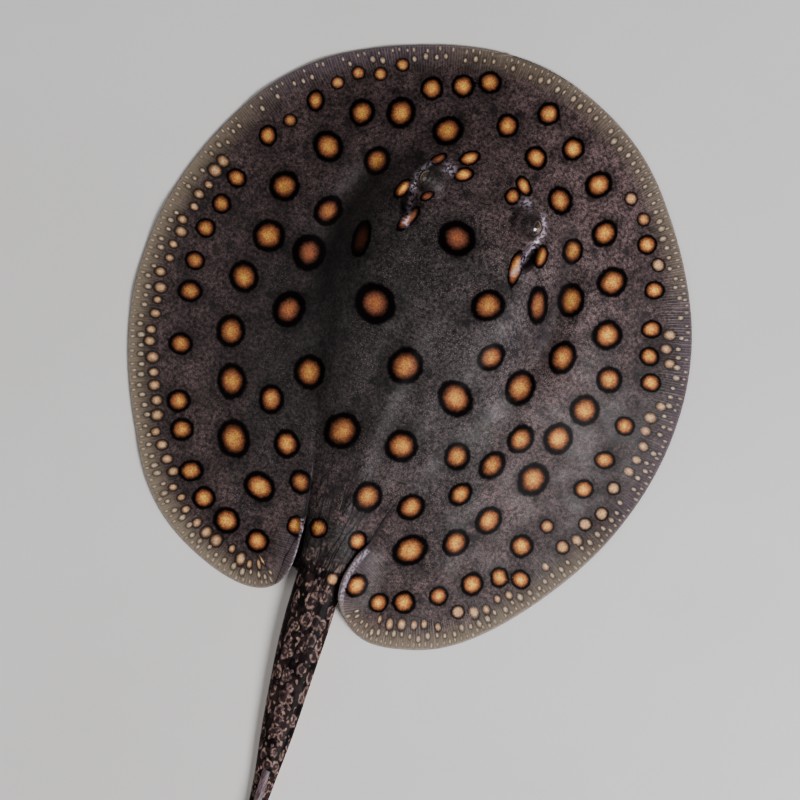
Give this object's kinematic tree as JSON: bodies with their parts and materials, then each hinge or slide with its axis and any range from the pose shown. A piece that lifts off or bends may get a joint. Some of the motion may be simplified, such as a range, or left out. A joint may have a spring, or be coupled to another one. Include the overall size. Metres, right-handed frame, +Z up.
{
  "type": "freshwater stingray",
  "caption": "Life-size still model of an eye-spotted freshwater stingray lying flat, with a round disc, raised head and back, and a short thick tail with its sting.",
  "frame": {"origin": "on the floor, on the flat of the belly under the middle of the disc", "axes": "+Y from the tail towards the snout, +X to the animal's right side, +Z up"},
  "size_m": [0.414, 0.6821, 0.0551],
  "materials": {
    "skin": "wet, dark grey-brown with ringed orange spots",
    "tail_skin": "wet, near black with small pale blotches",
    "sting": "smooth dentine",
    "eye": "wet and glossy"
  },
  "bodies": {
    "root": {"head": "skin", "trunk": "skin", "pectoral_fin_left": "skin", "pectoral_fin_right": "skin", "pelvic_fin_left": "skin", "pelvic_fin_right": "skin", "tail_base": "tail_skin", "tail_middle": "tail_skin", "tail_tip": "tail_skin", "sting": "sting", "eye_left": "eye", "eye_right": "eye"}
  },
  "joints": []
}
